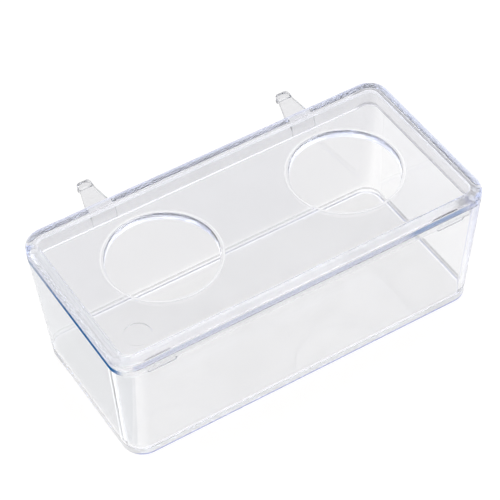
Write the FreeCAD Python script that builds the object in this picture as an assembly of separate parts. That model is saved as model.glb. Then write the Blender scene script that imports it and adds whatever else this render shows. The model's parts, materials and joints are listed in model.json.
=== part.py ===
"""Clear plastic hang-on box: a tapered tub with two hooks behind its rear rim, and a press-in lid with
two round openings.  Millimetres, +Z up, origin at the middle of the underside, rear (the side that
hangs) towards +Y."""
import FreeCAD
import Part
import math
import os

V = FreeCAD.Vector

# ---- overall sizes -------------------------------------------------------------------------
length = 130.0            # outside, along X, at the rim
depth = 63.0              # outside, along Y, at the rim
tub_height = 43.4         # underside to the rim that the lid rests on
wall_lean = 2.8           # how far each wall leans in from the rim down to the underside
corner_radius = 7.0       # upright corners, outside

# ---- tub -----------------------------------------------------------------------------------
wall = 1.8                # measured level
floor = 2.0
bottom_edge_round = 0.6   # outside edge of the underside
inside_edge_round = 1.4   # where the floor meets the walls
ejector_mark_radius = 4.7
ejector_mark_step = 0.2   # how far the mark sinks into the floor
ejector_mark_at = (-37.4, 12.8)

# ---- lid -----------------------------------------------------------------------------------
lid_height = 4.4          # rim of the tub to the top of the lid
plate = 2.3               # flat top
lid_edge_round = 2.5      # outer top edge
lid_fit = 0.3             # skirt to tub wall, all round
skirt = 1.4               # thickness
skirt_depth = 4.4         # below the rim of the tub
lead_in = 0.5             # bevel on the skirt's outer bottom edge
opening_radius = 17.25
opening_pitch = 65.0      # centre to centre
opening_lip_round = 1.5

# ---- snap ----------------------------------------------------------------------------------
snap_length = 9.4
snap_spread = 101.4       # centre to centre
snap_lift = 1.0           # bead centre above the skirt's bottom edge
bead_radius = 0.6
bead_stand = 0.22         # how far a bead stands out of the skirt, less than lid_fit
groove_radius = 0.9
groove_sink = 0.5         # how far a groove cuts into the tub's front wall
groove_margin = 0.3       # longer than the bead, at each end

# ---- hooks, moulded in one with the tub -----------------------------------------------------
hook_spread = 72.6        # centre to centre
hook_width = 8.6          # where the arm leaves the wall
hook_end_width = 5.1
hook_reach = 12.2         # behind the rim of the tub
hook_root_length = 2.0    # of full width, next to the wall
hook_end_length = 3.5     # of the narrow end's width
hook_thickness = 1.6
hook_slope = 14.0         # degrees that the arm climbs on its way back
hook_below_rim = 0.9      # top of the arm where it leaves the wall
hook_lip_length = 2.6     # thick end that keeps the hook on its wire
hook_lip_height = 2.8     # top to bottom of that end
hook_edge_round = 1.2     # upper edge of the end
hook_lip_round = 0.5
hook_plan_round = 2.0     # corners of the end, seen from above
gusset = 2.4              # under the arm's root, along the arm and down the wall

lid_top = tub_height + lid_height


def inset_at(z):
    """How far the outside wall stands in from the rim's outline at height z."""
    return wall_lean * (tub_height - z) / tub_height


def slab(z_low, z_high, inset_low, inset_high, radius):
    """A block with flat leaning sides and round upright corners, inset from the rim's outline."""
    x_low, x_high = length / 2 - inset_low, length / 2 - inset_high
    y_low, y_high = depth / 2 - inset_low, depth / 2 - inset_high
    block = Part.makeWedge(-x_low, z_low, -y_low, -y_high, -x_high, x_low, z_high, y_low, y_high, x_high)
    block.rotate(V(0, 0, 0), V(1, 0, 0), 90)
    upright = [e for e in block.Edges if e.BoundBox.ZLength > 0.5 * (z_high - z_low)]
    return block.makeFillet(radius, upright)


def edges_at(shape, z):
    """The edges of a shape that lie level at height z."""
    level = []
    for edge in shape.Edges:
        middle = edge.valueAt((edge.FirstParameter + edge.LastParameter) / 2)
        heights = [vertex.Z for vertex in edge.Vertexes] + [middle.z]
        if all(abs(height - z) < 1e-3 for height in heights):
            level.append(edge)
    return level


def bar(radius, bar_length, centre):
    """A round bar along X with ball ends."""
    half = bar_length / 2 - radius
    shape = Part.makeCylinder(radius, 2 * half, centre - V(half, 0, 0), V(1, 0, 0))
    for side in (-1, 1):
        shape = shape.fuse(Part.makeSphere(radius, centre + V(side * half, 0, 0)))
    return shape


def tub_outside():
    shape = slab(0, tub_height, wall_lean, 0, corner_radius)
    return shape.makeFillet(bottom_edge_round, edges_at(shape, 0))


def tub_cavity():
    top = tub_height + 1
    shape = slab(floor, top, wall + inset_at(floor), wall + inset_at(top), corner_radius - wall)
    return shape.makeFillet(inside_edge_round, edges_at(shape, floor))


def make_tub():
    tub = tub_outside().cut(tub_cavity())
    mark = Part.makeCylinder(ejector_mark_radius, floor, V(*ejector_mark_at, floor - ejector_mark_step))
    tub = tub.cut(mark)
    z = tub_height - skirt_depth + snap_lift
    inner_face = -(depth / 2 - wall - inset_at(z))
    for side in (-1, 1):
        centre = V(side * snap_spread / 2, inner_face + groove_radius - groove_sink, z)
        tub = tub.cut(bar(groove_radius, snap_length + 2 * groove_margin, centre))
        tub = tub.fuse(make_hook(side))
    return tub.removeSplitter()


def skirt_outer_inset(z):
    return wall + lid_fit + inset_at(z)


def make_lid():
    cap = slab(tub_height, lid_top, 0, 0, corner_radius)
    cap = cap.makeFillet(lid_edge_round, edges_at(cap, lid_top))

    bottom = tub_height - skirt_depth
    top = lid_top - plate
    plug = slab(bottom, top, skirt_outer_inset(bottom), skirt_outer_inset(top),
                corner_radius - wall - lid_fit)
    plug = plug.makeChamfer(lead_in, edges_at(plug, bottom))
    inner = skirt + wall + lid_fit
    hollow = slab(bottom - 1, top, inner + inset_at(bottom - 1), inner + inset_at(top),
                  corner_radius - inner)
    lid = cap.fuse(plug).cut(hollow)

    lip_start = lid_top - opening_lip_round
    for side in (-1, 1):
        centre = V(side * opening_pitch / 2, 0, 0)
        tool = Part.makeCylinder(opening_radius, lid_top + 1, centre)
        flare = Part.makeCylinder(opening_radius + opening_lip_round, opening_lip_round + 1,
                                  centre + V(0, 0, lip_start))
        ring = Part.makeTorus(opening_radius + opening_lip_round, opening_lip_round,
                              centre + V(0, 0, lip_start))
        lid = lid.cut(tool).cut(flare.cut(ring))
        z = bottom + snap_lift
        outer_face = -(depth / 2 - skirt_outer_inset(z))
        centre = V(side * snap_spread / 2, outer_face + bead_radius - bead_stand, z)
        lid = lid.fuse(bar(bead_radius, snap_length, centre))
    return lid.removeSplitter()


def hook_bar():
    """Arm and lip at their full width, centred on X, starting inside the tub's rear wall."""
    climb = math.tan(math.radians(hook_slope))
    rim = depth / 2
    back = rim + hook_reach
    inside_wall = rim - wall / 2
    lip_start = back - hook_lip_length

    def top(y):
        return tub_height - hook_below_rim + (y - rim) * climb

    def under(y):
        return top(y) - hook_thickness

    lip_bottom = top(back) - hook_lip_height
    gusset_bottom = under(rim + gusset) - gusset
    outline = [
        (inside_wall, top(inside_wall)),
        (back, top(back)),
        (back, lip_bottom),
        (lip_start, lip_bottom),
        (lip_start, under(lip_start)),
        (rim + gusset, under(rim + gusset)),
        (rim - inset_at(gusset_bottom), gusset_bottom),
        (inside_wall, gusset_bottom),
    ]
    points = [V(-hook_width / 2, y, z) for y, z in outline]
    bar = Part.Face(Part.makePolygon(points + [points[0]])).extrude(V(hook_width, 0, 0))

    def crossing_edges(y, z):
        return [e for e in bar.Edges if e.BoundBox.XLength > hook_width / 2
                and abs(e.BoundBox.YMin - y) < 1e-3 and abs(e.BoundBox.ZMin - z) < 1e-3]

    bar = bar.makeFillet(hook_edge_round, crossing_edges(back, top(back)))
    return bar.makeFillet(hook_lip_round, crossing_edges(back, lip_bottom)
                          + crossing_edges(lip_start, lip_bottom))


def hook_plan():
    """The hook from above: widest at the wall, narrower at its end, with round end corners."""
    root = hook_width / 2
    tip = hook_end_width / 2
    front = depth / 2 - wall
    back = depth / 2 + hook_reach
    root_end = depth / 2 + hook_root_length
    tip_start = back - hook_end_length
    right = [V(root, front, 0), V(root, root_end, 0), V(tip, tip_start, 0), V(tip, back, 0)]
    outline = right + [V(-point.x, point.y, 0) for point in reversed(right)]
    block = Part.Face(Part.makePolygon(outline + [outline[0]])).extrude(V(0, 0, 2 * tub_height))
    ends = [e for e in block.Edges if e.BoundBox.ZLength > tub_height and e.BoundBox.YMin > back - 1e-4]
    return block.makeFillet(hook_plan_round, ends)


def make_hook(side):
    hook = hook_bar().common(hook_plan())
    hook.translate(V(side * hook_spread / 2, 0, 0))
    return hook


def main():
    os.makedirs("parts", exist_ok=True)
    for name, shape in (("tub", make_tub()), ("lid", make_lid())):
        solid = shape.Solids[0]
        box = solid.BoundBox
        print(name, "valid", solid.isValid(), "solids", len(shape.Solids), "volume", round(solid.Volume, 1),
              "height", round(box.ZMin, 2), "to", round(box.ZMax, 2))
        solid.exportStep(os.path.join("parts", name + ".step"))


main()
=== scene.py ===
import json
import math

import bmesh
import bpy
from mathutils import Matrix, Vector


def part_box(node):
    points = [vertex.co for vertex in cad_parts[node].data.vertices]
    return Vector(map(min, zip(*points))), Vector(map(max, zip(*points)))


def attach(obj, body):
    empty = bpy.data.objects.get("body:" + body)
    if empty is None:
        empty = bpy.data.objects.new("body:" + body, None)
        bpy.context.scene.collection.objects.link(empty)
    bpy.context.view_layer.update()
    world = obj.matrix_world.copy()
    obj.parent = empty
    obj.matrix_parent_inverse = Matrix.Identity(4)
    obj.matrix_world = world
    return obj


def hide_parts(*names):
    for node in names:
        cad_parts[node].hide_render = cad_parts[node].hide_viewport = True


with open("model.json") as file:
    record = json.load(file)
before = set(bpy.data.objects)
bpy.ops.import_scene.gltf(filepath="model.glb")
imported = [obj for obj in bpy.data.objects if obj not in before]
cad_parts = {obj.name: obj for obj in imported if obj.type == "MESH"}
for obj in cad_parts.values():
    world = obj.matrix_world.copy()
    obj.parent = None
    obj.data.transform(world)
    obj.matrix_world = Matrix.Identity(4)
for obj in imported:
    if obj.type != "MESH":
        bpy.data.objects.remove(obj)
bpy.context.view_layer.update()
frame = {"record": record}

mm = 0.001


# ---- The tub ------------------------------------------------------------------------------------
# One injection moulding of clear styrene: four walls that lean in to a flat floor, open at the top.  Its
# corners and its foot are rounded; the rim is left nearly square for the lid to sit on.  Sizes are in
# millimetres until a moulding is finished.

lid_low, lid_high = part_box("lid")
length = (lid_high.x - lid_low.x) / mm
depth = (lid_high.y - lid_low.y) / mm
lid_top = lid_high.z / mm
lid_height = 4.4
rim_height = lid_top - lid_height
wall_lean = 2.8
corner_radius = 7.0
least_radius = 0.05
wall = 1.8
floor_thickness = 2.0
foot_round = 0.6
inner_round = 1.4
rim_edge = 0.15
corner_steps = 14
round_steps = 7


def inset_at(z):
    """How far the outer wall stands in from the rim's outline at height z."""
    return wall_lean * (rim_height - z) / rim_height


def section(corners, first_gap, last_gap):
    """A moulding's section, from (inset, height, radius) corners that are each made an arc.  The corners at
    its ends only give a direction: it starts and stops a small gap past the first and the last arc."""
    arcs = []
    for before, (inset, z, radius), after in zip(corners, corners[1:], corners[2:]):
        here = Vector((inset, z))
        back = (Vector(before[:2]) - here).normalized()
        onward = (Vector(after[:2]) - here).normalized()
        half = math.acos(max(-1, min(1, back.dot(onward)))) / 2
        centre = here + (back + onward).normalized() * radius / math.sin(half)
        start = here + back * radius / math.tan(half) - centre
        sweep = math.pi - 2 * half
        side = 1 if back.x * onward.y - back.y * onward.x < 0 else -1
        for step in range(round_steps + 1):
            arcs.append(centre + Matrix.Rotation(side * sweep * step / round_steps, 2) @ start)
    first = Vector((arcs[0].x + first_gap, corners[0][1]))
    last = Vector((arcs[-1].x + last_gap, corners[-1][1]))
    return [first] + arcs + [last]


def ring(inset, z):
    """The box's rounded outline, drawn in by inset, at height z."""
    radius = max(least_radius, corner_radius - (inset - inset_at(min(z, rim_height))))
    points = []
    for quarter, (x, y) in enumerate(((1, 1), (-1, 1), (-1, -1), (1, -1))):
        centre = Vector((x * (length / 2 - inset - radius), y * (depth / 2 - inset - radius), z))
        for step in range(corner_steps + 1):
            angle = math.pi / 2 * (quarter + step / corner_steps)
            points.append(centre + radius * Vector((math.cos(angle), math.sin(angle), 0)))
    return points


def loft(name, rings):
    """A closed skin over rings of points that all have the same number, capped at both ends."""
    mesh = bmesh.new()
    rows = [[mesh.verts.new(point) for point in row] for row in rings]
    count = len(rows[0])
    for lower, upper in zip(rows, rows[1:]):
        for k in range(count):
            mesh.faces.new((lower[k], lower[(k + 1) % count], upper[(k + 1) % count], upper[k]))
    mesh.faces.new(reversed(rows[0]))
    mesh.faces.new(rows[-1])
    bmesh.ops.recalc_face_normals(mesh, faces=mesh.faces)
    data = bpy.data.meshes.new(name)
    mesh.to_mesh(data)
    mesh.free()
    piece = bpy.data.objects.new(name, data)
    bpy.context.scene.collection.objects.link(piece)
    return piece


towards_middle = length / 4
tub_section = section([
    (towards_middle, 0),
    (wall_lean, 0, foot_round),
    (0, rim_height, rim_edge),
    (wall, rim_height, rim_edge),
    (wall + inset_at(floor_thickness), floor_thickness, inner_round),
    (towards_middle, floor_thickness),
], 1.0, 1.0)
tub = loft("tub_moulding", [ring(*point) for point in tub_section])


# ---- The clear plastic --------------------------------------------------------------------------
# Both mouldings are one clear, glassy styrene with a little blue in it, which shows where light has a long
# way through, as along a wall or round an edge.  Faces carry faint flow waves, handling haze and hairlines.

class Signal:
    """A socket of a material's nodes, with the arithmetic that the finishes use."""

    def __init__(self, tree, socket):
        self.tree = tree
        self.socket = socket

    def make(self, kind, settings=None, output=0, **inputs):
        """Adds a node: its settings first, then the values or links of its sockets."""
        node = self.tree.nodes.new(kind)
        for name, value in (settings or {}).items():
            setattr(node, name, value)
        for name, value in inputs.items():
            key = int(name[1:]) if name[1:].isdigit() else name.replace("_", " ")
            if isinstance(value, Signal):
                self.tree.links.new(value.socket, node.inputs[key])
            else:
                node.inputs[key].default_value = value
        return Signal(self.tree, node.outputs[output])

    def math(self, operation, first, second=0.0):
        return self.make("ShaderNodeMath", {"operation": operation}, i0=first, i1=second)

    def __add__(self, other):
        return self.math("ADD", self, other)

    def __mul__(self, other):
        return self.math("MULTIPLY", self, other)

    def __sub__(self, other):
        return self.math("SUBTRACT", self, other)

    def __rsub__(self, other):
        return self.math("SUBTRACT", other, self)

    __radd__ = __add__

    def size(self):
        """The value without its sign."""
        return self.math("ABSOLUTE", self)

    def larger(self, other):
        return self.math("MAXIMUM", self, other)

    def over(self, low, high):
        """0 below low, 1 above high, and a smooth step between."""
        return self.make("ShaderNodeMapRange", {"interpolation_type": "SMOOTHSTEP"},
                         Value=self, From_Min=low, From_Max=high)

    def between(self, low, high, soft):
        """1 from low to high, falling softly to 0 outside."""
        return self.over(low - soft, low) * (1 - self.over(high, high + soft))

    def axis(self, index):
        """One coordinate of a place, in millimetres: 0 along the length, 1 to the rear, 2 upwards."""
        return self.make("ShaderNodeSeparateXYZ", output=index, Vector=self) * (1 / mm)

    def plain(self, colour):
        """A colour that is the same everywhere."""
        same = self.make("ShaderNodeRGB")
        same.socket.default_value = (*colour, 1)
        return same

    def tinted(self, colour, share):
        """This colour, moved towards another one by a share."""
        return self.make("ShaderNodeMix", {"data_type": "RGBA"}, output=2, Factor=share, i6=self,
                         i7=(*colour, 1))


def clear_plastic(name, seed, body, wave, painted_light_and_frost):
    """Clear moulded plastic.  body is the light that a face lets through, and wave how uneven it is.  The
    last argument gives a piece's colour with painted shade in it, its frosting, a painted glow, and an opaque
    cover of painted light and shade with its share and its colour."""
    material = bpy.data.materials.new(name)
    material.use_nodes = True
    tree = material.node_tree
    tree.nodes.clear()
    place = Signal(tree, tree.nodes.new("ShaderNodeTexCoord").outputs["Object"])

    def noise(scale, detail, stretch=(1, 1, 1), turn=0.0):
        where = place.make("ShaderNodeMapping", Vector=place, Location=(seed, 0, 0), Scale=stretch,
                           Rotation=(0, 0, turn))
        return place.make("ShaderNodeTexNoise", {"noise_dimensions": "3D"}, Vector=where, Scale=scale,
                          Detail=detail)

    flow = noise(26.0, 1.0)
    haze = noise(60.0, 4.0).over(0.45, 0.75)
    hairlines = sum(noise(420.0, 1.0, stretch=(1, 0.02, 1), turn=turn).over(0.70, 0.74)
                    for turn in (0.4, 1.3, 2.2))
    dimples = noise(900.0, 2.0)
    hazed = place.plain(body).tinted([part * 0.96 for part in body], haze * 0.6)
    # The colour comes back with painted shade in it, the glow is a painted glow, and the opaque cover carries
    # painted light and shade.
    colour, frosting, painted_glow, cover, painted_cover_colour = painted_light_and_frost(place, hazed)
    roughness = haze * 0.02 + hairlines * 0.06 + frosting
    waves = place.make("ShaderNodeBump", Height=flow, Strength=wave, Distance=0.3 * mm)
    skin = place.make("ShaderNodeBump", Height=dimples, Strength=wave * 0.4, Distance=0.02 * mm, Normal=waves)
    clear = place.make("ShaderNodeBsdfPrincipled", Base_Color=colour, Roughness=roughness, IOR=1.57,
                       Transmission_Weight=0.98, Normal=skin, Emission_Color=painted_glow, Emission_Strength=1.0)
    opaque = place.make("ShaderNodeBsdfPrincipled", Base_Color=painted_cover_colour, Roughness=0.5,
                        Specular_IOR_Level=0.0)
    surface = place.make("ShaderNodeMixShader", i0=cover, i1=clear, i2=opaque)
    depth_tint = place.make("ShaderNodeVolumeAbsorption", Color=(0.15, 0.36, 0.86, 1), Density=4.0)
    output = tree.nodes.new("ShaderNodeOutputMaterial")
    tree.links.new(surface.socket, output.inputs["Surface"])
    tree.links.new(depth_tint.socket, output.inputs["Volume"])
    return material


# ---- The tub's painted light and shade ----------------------------------------------------------
# Light and shade are painted on the walls: a deep blue line of painted shade under the rim at the left end,
# lavender painted shade at the foot and up the right front corner, and a painted glow along the round inside
# the floor and up the left front corner.  The hooks and two walls are painted a little greyer as shade, and
# the floor's edge is painted milky white, a painted light.

no_glow = (0.0, 0.0, 0.0)
rear_painted_shade = (0.83, 0.83, 0.845)
left_painted_shade = (0.80, 0.815, 0.835)
hook_painted_shade = (0.70, 0.70, 0.715)
corner_painted_shade = (0.66, 0.68, 0.86)
foot_painted_shade = (0.40, 0.44, 0.76)
painted_light_white = (0.88, 0.88, 0.89)
painted_blue_shade = (0.0, 0.10, 0.30)
inner_round_painted_glow = (0.26, 0.26, 0.27)
left_corner_painted_glow = (0.06, 0.06, 0.06)
corner_start_painted_glow = (0.22, 0.22, 0.225)


def tub_painted_light_and_frost(place, colour):
    x, y, z = place.axis(0), place.axis(1), place.axis(2)
    left, right = -length / 2, length / 2
    front, rear = -depth / 2, depth / 2
    above_floor = z.over(2.0, 4.0)

    # The hooks are painted greyer as shade; their slight frosting is real.
    hooks_share = y.over(rear + 0.2, rear + 1.2)
    # The rear wall and the middle of the left wall are painted greyer as shade.
    rear_wall = y.over(rear - 5.5, rear - 3.0) * z.over(3.0, 6.0)
    left_wall = (1 - x.over(left + 4.8, left + 5.2)) * z.between(6.0, rim_height - 2.9, 0.5)
    # The right front corner is painted lavender as shade.
    right_corner = x.over(right - 6.0, right - 3.5) * (1 - y.over(front + 5.5, front + 7.5))
    colour = colour.tinted(rear_painted_shade, rear_wall)
    colour = colour.tinted(left_painted_shade, left_wall)
    colour = colour.tinted(hook_painted_shade, hooks_share)
    colour = colour.tinted(corner_painted_shade, right_corner)

    lean = wall_lean / rim_height
    foot_x = right - wall_lean
    foot_y = rear - wall_lean
    foot_corner = foot_x + foot_y - (2 - math.sqrt(2)) * corner_radius
    upright_x = x.size() - z * lean
    upright_y = y.size() - z * lean
    outside = upright_x.over(foot_x - 1.0, foot_x - 0.7).larger(upright_y.over(foot_y - 1.0, foot_y - 0.7))
    outside = outside.larger((upright_x + upright_y).over(foot_corner - 1.4, foot_corner - 1.0))

    # A painted glow lifts the round inside the floor, the left front corner and the start of that corner's
    # arc.
    inner_foot = z.between(floor_thickness + 0.2, floor_thickness + inner_round, 0.1) * (1 - outside)
    left_corner = (1 - x.over(left + 6.0, left + 9.0)) * (1 - y.over(front + 3.5, front + 10.5)) * outside
    arc_start = corner_radius - foot_y
    corner_start = (y + z * lean).between(arc_start - 1.8, arc_start + 0.6, 0.3)
    corner_start = corner_start * (1 - (x + z * lean).over(0.4 - foot_x, 0.6 - foot_x)) * above_floor
    painted_glow = colour.plain(no_glow).tinted(inner_round_painted_glow, inner_foot)
    painted_glow = painted_glow.tinted(left_corner_painted_glow, left_corner * above_floor)
    painted_glow = painted_glow.tinted(corner_start_painted_glow, corner_start)

    # The floor's edge is covered in painted milky white light, fading towards the rear.
    floor_edge = z.between(0.1, 3.3, 0.1) * outside
    floor_edge_painted_light = floor_edge * (0.75 - y.over(10.0, 20.0) * 0.45)
    # A lavender line of painted shade runs along the foot, from near the left end onwards.
    foot_shade_line = z.between(0.1, 0.9, 0.1) * x.over(0.7 - foot_x, 3.2 - foot_x)
    # A deep blue line of painted shade runs under the rim at the left end, weaker towards the rear.
    under_rim = z.between(rim_height - 2.15, rim_height - 0.4, 0.28)
    left_end = 1 - x.over(left + 0.1, left + 2.6)
    painted_shade_line = under_rim * left_end * (1 - y.over(-5.0, 25.0) * 0.45)
    painted_cover_colour = colour.plain(painted_light_white).tinted(foot_painted_shade, foot_shade_line).tinted(painted_blue_shade, under_rim)
    return colour, hooks_share * 0.12, painted_glow, painted_shade_line.larger(floor_edge_painted_light), painted_cover_colour


tub_plastic = clear_plastic("tub_plastic", 0.0, (0.965, 0.965, 0.97), 0.25, tub_painted_light_and_frost)


# ---- Pairs --------------------------------------------------------------------------------------
# The box is the same left and right, so hooks, snap grooves, snap beads and openings all come as a pair that
# stands the same way round at both ends.

def pair_tree():
    tree = bpy.data.node_groups.new("pair_along_length", "GeometryNodeTree")
    for name in ("Geometry", "Spread", "Material"):
        kind = {"Spread": "Float"}.get(name, name)
        tree.interface.new_socket(name, in_out="INPUT", socket_type="NodeSocket" + kind)
    tree.interface.new_socket("Geometry", in_out="OUTPUT", socket_type="NodeSocketGeometry")
    given = tree.nodes.new("NodeGroupInput")
    result = tree.nodes.new("NodeGroupOutput")

    def add(kind, **links):
        node = tree.nodes.new(kind)
        for name, value in links.items():
            socket = node.inputs[name.replace("_", " ")]
            if isinstance(value, bpy.types.NodeSocket):
                tree.links.new(value, socket)
            else:
                socket.default_value = value
        return node

    half = add("ShaderNodeMath")
    half.operation = "MULTIPLY"
    tree.links.new(given.outputs["Spread"], half.inputs[0])
    half.inputs[1].default_value = -0.5
    start = add("ShaderNodeCombineXYZ", X=half.outputs[0])
    offset = add("ShaderNodeCombineXYZ", X=given.outputs["Spread"])
    line = add("GeometryNodeMeshLine", Count=2, Start_Location=start.outputs[0], Offset=offset.outputs[0])
    copies = add("GeometryNodeInstanceOnPoints", Points=line.outputs[0], Instance=given.outputs["Geometry"])
    whole = add("GeometryNodeRealizeInstances", Geometry=copies.outputs[0])
    finish = add("GeometryNodeSetMaterial", Geometry=whole.outputs[0], Material=given.outputs["Material"])
    tree.links.new(finish.outputs[0], result.inputs[0])
    return tree


pairs = pair_tree()


def settle(piece):
    """Turns a piece with its modifiers into a plain mesh."""
    graph = bpy.context.evaluated_depsgraph_get()
    data = bpy.data.meshes.new_from_object(piece.evaluated_get(graph), depsgraph=graph)
    piece.modifiers.clear()
    piece.data = data
    return piece


def pair(piece, spread, material):
    """Makes a centred piece a pair, spread apart along the length, and plain mesh again."""
    nodes = piece.modifiers.new("pair", "NODES")
    nodes.node_group = pairs
    sockets = pairs.interface.items_tree
    nodes[sockets["Spread"].identifier] = float(spread)
    nodes[sockets["Material"].identifier] = material
    return settle(piece)


def combine(piece, operation, tool):
    """Joins a tool's shape to a piece, or cuts it out, and removes the tool."""
    joint = piece.modifiers.new("combine", "BOOLEAN")
    joint.operation = operation
    joint.solver = "EXACT"
    joint.object = tool
    settle(piece)
    bpy.data.objects.remove(tool)
    return piece


# ---- Hooks --------------------------------------------------------------------------------------
# Two flat arms moulded on behind the tub, under its rim.  Each leaves the wall at its full width over a small
# web, tapers as it climbs back, and ends in a thick rounded lip that drops behind a cage wire.

hook_mount = {m["name"]: m["pos_m"] for m in frame["record"]["mounts"]}["hook_right"]
hook_spread = 2 * hook_mount[0] / mm
tub_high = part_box("tub")[1]
hook_back = tub_high.y / mm
hook_climb = math.tan(math.radians(14.0))
hook_below_rim = 0.9
hook_root_half = 4.3
hook_root_length = 2.0
hook_end_half = 2.55
hook_end_length = 3.5
hook_thickness = 1.6
hook_web = 2.4
hook_lip_length = 2.6
hook_lip_height = 2.8
hook_plan_round = 2.0
hook_end_round = 1.2
hook_lip_round = 0.5
hook_edge = 0.35
hook_edge_steps = 4
arm_stations = 40
end_stations = 16


def fall(into, radius):
    """How high a round of this radius still stands, so far into it."""
    return math.sqrt(max(0, radius ** 2 - max(0, into) ** 2))


def hook_line(y):
    """The height of the arm's top, before its end round."""
    return rim_height - hook_below_rim + (y - depth / 2) * hook_climb


def hook_half_width(y):
    taper_start = depth / 2 + hook_root_length
    taper_end = hook_back - hook_end_length
    share = min(1, max(0, (y - taper_start) / (taper_end - taper_start)))
    half = hook_root_half + (hook_end_half - hook_root_half) * share
    return half - hook_plan_round + fall(y - (hook_back - hook_plan_round), hook_plan_round) * 0.98


def hook_top(y):
    return hook_line(y) - hook_end_round + fall(y - (hook_back - hook_end_round), hook_end_round)


def hook_underside(y):
    plain = hook_line(y) - hook_thickness
    if y < depth / 2 + hook_web:
        return plain - (depth / 2 + hook_web - y)
    lip_low = hook_line(hook_back) - hook_lip_height
    lip_start = hook_back - hook_lip_length
    blend = min(1, max(0, (y - lip_start + 0.3) / 0.8))
    blend = blend * blend * (3 - 2 * blend)
    low = plain + (lip_low - plain) * blend
    return low + hook_lip_round - fall(y - (hook_back - hook_lip_round), hook_lip_round)


def hook_slice(y):
    """The arm's section across the box: a rectangle with softened corners."""
    half = hook_half_width(y)
    low, high = hook_underside(y), hook_top(y)
    edge = min(hook_edge, half * 0.45, (high - low) * 0.45)
    points = []
    for quarter, (sx, sz) in enumerate(((1, 1), (-1, 1), (-1, -1), (1, -1))):
        centre = Vector((sx * (half - edge), y, (high if sz > 0 else low) - sz * edge))
        for step in range(hook_edge_steps + 1):
            angle = math.pi / 2 * (quarter + step / hook_edge_steps)
            points.append(centre + edge * Vector((math.cos(angle), 0, math.sin(angle))))
    return points


def hook_stations():
    """Where the slices stand, from inside the wall to the end, closer together round the end."""
    start = depth / 2 - wall / 2
    end = hook_back - hook_plan_round
    arm = [start + (end - start) * k / arm_stations for k in range(arm_stations)]
    tip = [end + hook_plan_round * math.sin(math.pi / 2 * k / end_stations) * 0.999
           for k in range(end_stations + 1)]
    return arm + tip


hooks = pair(loft("hooks", [hook_slice(y) for y in hook_stations()]), hook_spread, tub_plastic)
combine(tub, "UNION", hooks)


# ---- Marks on the tub ---------------------------------------------------------------------------
# The ejector pin leaves a shallow round step in the floor, and the lid's beads click into two short grooves
# on the inside of the front wall.

def lathe(name, profile, centre, steps):
    """A closed solid of revolution about an upright axis through centre, from (radius, height) points."""
    rows = []
    for radius, z in profile:
        rows.append([Vector((centre[0] + radius * math.cos(2 * math.pi * k / steps),
                             centre[1] + radius * math.sin(2 * math.pi * k / steps), z))
                     for k in range(steps)])
    return loft(name, rows)


def bar(name, radius, bar_length, y, z):
    """A bar along the length with ball ends, centred at x 0."""
    ball_steps, around = 8, 24
    half = bar_length / 2 - radius
    rows = []
    for side in (-1, 1):
        for k in range(ball_steps + 1):
            angle = math.pi / 2 * k / ball_steps
            reach, size = math.sin(angle), math.cos(angle)
            if side < 0:
                reach, size = size, reach
            x = side * (half + radius * reach)
            wide = radius * max(size, 0.02)
            rows.append([Vector((x, y + wide * math.cos(2 * math.pi * n / around),
                                 z + wide * math.sin(2 * math.pi * n / around))) for n in range(around)])
    return loft(name, rows)


ejector_radius = 4.7
ejector_floor = floor_thickness - 0.2
ejector_at = (-37.4, 12.8)
ejector_profile = [(ejector_radius - 0.04, ejector_floor), (ejector_radius, ejector_floor + 0.04),
                   (ejector_radius + 0.05, floor_thickness + 1)]
combine(tub, "DIFFERENCE", lathe("ejector", ejector_profile, ejector_at, 96))

snap_spread = 101.4
snap_length = 9.4
skirt_bottom = lid_low.z / mm
snap_height = skirt_bottom + 1.0
groove_radius = 0.9
groove_sink = 0.5
groove_margin = 0.3
inner_face = -(depth / 2 - wall - inset_at(snap_height))
groove = bar("grooves", groove_radius, snap_length + 2 * groove_margin,
             inner_face + groove_radius - groove_sink, snap_height)
combine(tub, "DIFFERENCE", pair(groove, snap_spread, tub_plastic))


# ---- The finished tub ---------------------------------------------------------------------------
# Out of the mould it gets no paint or print: its faces are left as the tool polished them, smooth between
# their true edges.  Here it is also put to its real size.

def finish_moulding(piece, node, body, material):
    piece.data.transform(Matrix.Scale(mm, 4))
    clean = bmesh.new()
    clean.from_mesh(piece.data)
    bmesh.ops.remove_doubles(clean, verts=clean.verts, dist=0.002 * mm)
    clean.to_mesh(piece.data)
    clean.free()
    piece.data.materials.clear()
    piece.data.materials.append(material)
    for face in piece.data.polygons:
        face.use_smooth = True
        face.material_index = 0
    piece.data.set_sharp_from_angle(angle=math.radians(32))
    flats = piece.modifiers.new("flats", "WEIGHTED_NORMAL")
    flats.keep_sharp = True
    flats.weight = 100
    settle(piece)
    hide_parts(node)
    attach(piece, body)


finish_moulding(tub, "tub", "box", tub_plastic)


# ---- The lid's painted light and shade ----------------------------------------------------------
# The lid is the tub's plastic, a shade greyer.  Its upright edge is painted lavender blue as shade at the
# front and the left, with a navy stretch at the front's right, and its skirt's edge at the right end is
# painted grey as shade.
# Its far edges and the openings' walls get a painted glow, and a white line of painted highlight runs round
# each opening's lip.

opening_radius = 17.25
opening_spread = 65.0
edge_painted_shade = (0.45, 0.48, 0.66)
edge_painted_navy_shade = (0.10, 0.17, 0.38)
skirt_painted_shade = (0.30, 0.30, 0.33)
opening_painted_glow = (0.30, 0.30, 0.32)
far_edge_painted_glow = (0.09, 0.10, 0.15)
lip_painted_highlight = (0.88, 0.88, 0.90, 1.0)


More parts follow.
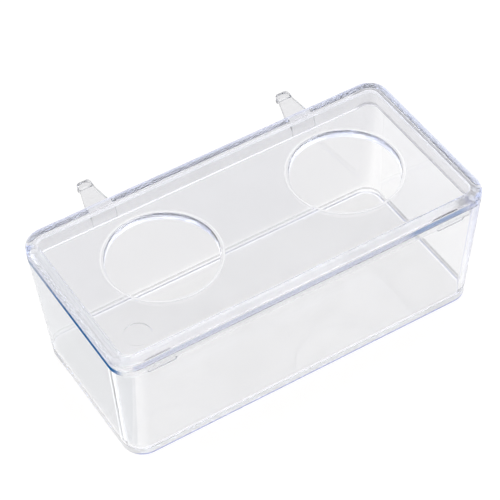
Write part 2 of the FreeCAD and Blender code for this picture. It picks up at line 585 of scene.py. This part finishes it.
def lid_painted_light_and_frost(place, colour):
    x, y, z = place.axis(0), place.axis(1), place.axis(2)
    right, rear = length / 2, depth / 2

    # The upright edge is painted lavender blue as shade at the front and the left.
    upright_edge = z.between(rim_height + 0.2, rim_height + 1.9, 0.4)
    at_left = 1 - x.over(0.2 - right, 0.6 - right)
    at_front = 1 - y.over(0.2 - rear, 0.6 - rear)
    # A navy stretch of painted shade lies on the right part of the front edge.
    right_stretch = x.between(38.0, 53.0, 6.0)
    # The skirt's lower edge at the right end is painted grey as shade.
    skirt_edge = (1 - z.over(skirt_bottom + 0.3, skirt_bottom + 0.8)) * x.over(55.0, 57.0)
    colour = colour.tinted(edge_painted_shade, upright_edge * at_left.larger(at_front))
    colour = colour.tinted(edge_painted_navy_shade, upright_edge * at_front * right_stretch)
    colour = colour.tinted(skirt_painted_shade, skirt_edge)

    # The far edges and the openings' walls get a painted glow.
    far_edges = x.over(right - 2.6, right - 2.0).larger(y.over(rear - 2.6, rear - 2.0))
    far_edges = far_edges * z.over(rim_height + 0.5, rim_height + 1.0)
    off_centre = x.size() - opening_spread / 2
    reach_squared = off_centre * off_centre + y * y

    def beyond(start, end):
        return reach_squared.over((opening_radius + start) ** 2, (opening_radius + end) ** 2)

    painted_glow = colour.plain(no_glow).tinted(opening_painted_glow, 1 - beyond(0.10, 0.35)).tinted(far_edge_painted_glow, far_edges)
    # A white line of painted highlight runs round each opening's lip.
    lip_highlight_line = beyond(0.85, 1.05) * (1 - beyond(1.35, 1.55)) * z.over(lid_top - 1.0, lid_top - 0.8)
    outer_band = x.size().over(right - 3.0, right - 2.4).larger(y.size().over(rear - 3.1, rear - 2.5))
    return colour, outer_band * 0.07, painted_glow, lip_highlight_line * 0.6, lip_painted_highlight


lid_plastic = clear_plastic("lid_plastic", 7.0, (0.935, 0.935, 0.945), 0.05, lid_painted_light_and_frost)


# ---- The lid ------------------------------------------------------------------------------------
# One clear moulding that sits on the tub's rim: a flat top with a rounded edge, a skirt that presses inside
# the tub's walls, two snap beads on it, and two round openings with rounded lips to reach through.

air_gap = 0.03
plate = 2.3
lid_edge_round = 2.5
opening_lip = 1.5
skirt_inset = wall + 0.3
skirt_inner = skirt_inset + 1.4
lead_in = 0.5
lid_section = section([
    (towards_middle, lid_top),
    (0, lid_top, lid_edge_round),
    (0, rim_height + air_gap, rim_edge),
    (skirt_inset, rim_height + air_gap, 0.12),
    (skirt_inset + inset_at(skirt_bottom + lead_in), skirt_bottom + lead_in, 0.2),
    (skirt_inset + inset_at(skirt_bottom) + lead_in, skirt_bottom, 0.15),
    (skirt_inner + inset_at(skirt_bottom), skirt_bottom, 0.12),
    (skirt_inner, lid_top - plate, 0.4),
    (towards_middle, lid_top - plate),
], 0.5, 0.3)
lid = loft("lid_moulding", [ring(*point) for point in lid_section])


def opening_profile():
    """What is cut from the plate, from its slightly eased lower edge to its rounded lip."""
    eased, eased_steps, lip_steps = 0.2, 4, 10
    profile = [(opening_radius + eased, lid_top - plate - 1)]
    for k in range(eased_steps + 1):
        angle = math.pi / 2 * k / eased_steps
        profile.append((opening_radius + eased * (1 - math.sin(angle)),
                        lid_top - plate + eased * (1 - math.cos(angle))))
    for k in range(lip_steps + 1):
        angle = math.pi / 2 * k / lip_steps
        profile.append((opening_radius + opening_lip * (1 - math.cos(angle)),
                        lid_top - opening_lip + opening_lip * math.sin(angle)))
    return profile + [(opening_radius + opening_lip, lid_top + 1)]


openings = pair(lathe("openings", opening_profile(), (0, 0), 128), opening_spread, lid_plastic)
combine(lid, "DIFFERENCE", openings)

bead_radius = 0.6
bead_stand = 0.22
skirt_face = -(depth / 2 - skirt_inset - inset_at(snap_height))
bead = bar("beads", bead_radius, snap_length, skirt_face + bead_radius - bead_stand, snap_height)
combine(lid, "UNION", pair(bead, snap_spread, lid_plastic))
finish_moulding(lid, "lid", "cover", lid_plastic)


# ---- Floor and light ----------------------------------------------------------------------------
# A pale seamless sheet that is lit from below as well as from above, in a soft white tent with one soft
# light overhead.

def lit_paper(name, own_light, colour):
    material = bpy.data.materials.new(name)
    material.use_nodes = True
    surface = material.node_tree.nodes["Principled BSDF"]
    surface.inputs["Base Color"].default_value = (*colour, 1)
    surface.inputs["Roughness"].default_value = 1.0
    surface.inputs["Specular IOR Level"].default_value = 0.0
    surface.inputs["Emission Color"].default_value = (*own_light, 1)
    surface.inputs["Emission Strength"].default_value = 1.0
    return material


sheet_half = 4.0
sheet_gap = 0.05 * mm
sheet_data = bpy.data.meshes.new("paper_sheet")
sheet_data.from_pydata([(-sheet_half, -sheet_half, -sheet_gap), (sheet_half, -sheet_half, -sheet_gap),
                        (sheet_half, sheet_half, -sheet_gap), (-sheet_half, sheet_half, -sheet_gap)],
                       [], [(0, 1, 2, 3)])
sheet_data.materials.append(lit_paper("white_paper", (0.80, 0.795, 0.79), (0.26, 0.26, 0.26)))
paper = bpy.data.objects.new("paper_sheet", sheet_data)
bpy.context.scene.collection.objects.link(paper)

world = bpy.data.worlds.new("tent")
world.use_nodes = True
bpy.context.scene.world = world
sky = world.node_tree.nodes["Background"]
sky.inputs["Color"].default_value = (1, 1, 1, 1)
sky.inputs["Strength"].default_value = 1.0

overhead = bpy.data.lights.new("overhead", "AREA")
overhead.shape = "SQUARE"
overhead.size = 1.0
overhead.energy = 3.0
overhead_lamp = bpy.data.objects.new("overhead", overhead)
overhead_lamp.location = (0.2, 0.3, 1.3)
overhead_lamp.rotation_mode = "QUATERNION"
overhead_lamp.rotation_quaternion = (-overhead_lamp.location).to_track_quat("-Z", "Y")
bpy.context.scene.collection.objects.link(overhead_lamp)


# ---- Camera -------------------------------------------------------------------------------------
# It looks down on the box from the front and a little to the left, from about two thirds of a metre, with a
# long lens.  Light is followed through many faces, because a clear box sends it round its walls.

azimuth, elevation, roll = (math.radians(angle) for angle in (-29.652, 46.600, -2.845))
distance = 658.75 * mm
look_height = 21.64 * mm
move_right, move_up = -2.139 * mm, 6.609 * mm
most_bounces = 96
back = Vector((math.sin(azimuth) * math.cos(elevation), -math.cos(azimuth) * math.cos(elevation),
               math.sin(elevation)))
right = Vector((math.cos(azimuth), math.sin(azimuth), 0))
up = back.cross(right)
turned_right = right * math.cos(roll) + up * math.sin(roll)
turned_up = up * math.cos(roll) - right * math.sin(roll)
stand = Vector((0, 0, look_height)) + right * move_right + up * move_up + back * distance
camera_data = bpy.data.cameras.new("camera")
camera_data.lens = 152.5
camera_data.sensor_width = 36.0
camera_data.clip_start, camera_data.clip_end = 0.01, 20.0
camera = bpy.data.objects.new("camera", camera_data)
turned = Matrix((turned_right, turned_up, back)).transposed().to_4x4()
camera.matrix_world = Matrix.Translation(stand) @ turned
bpy.context.scene.collection.objects.link(camera)
bpy.context.scene.camera = camera
bpy.context.scene.view_settings.view_transform = "Standard"
light_paths = bpy.context.scene.cycles
light_paths.max_bounces = most_bounces
light_paths.glossy_bounces = most_bounces
light_paths.transmission_bounces = most_bounces
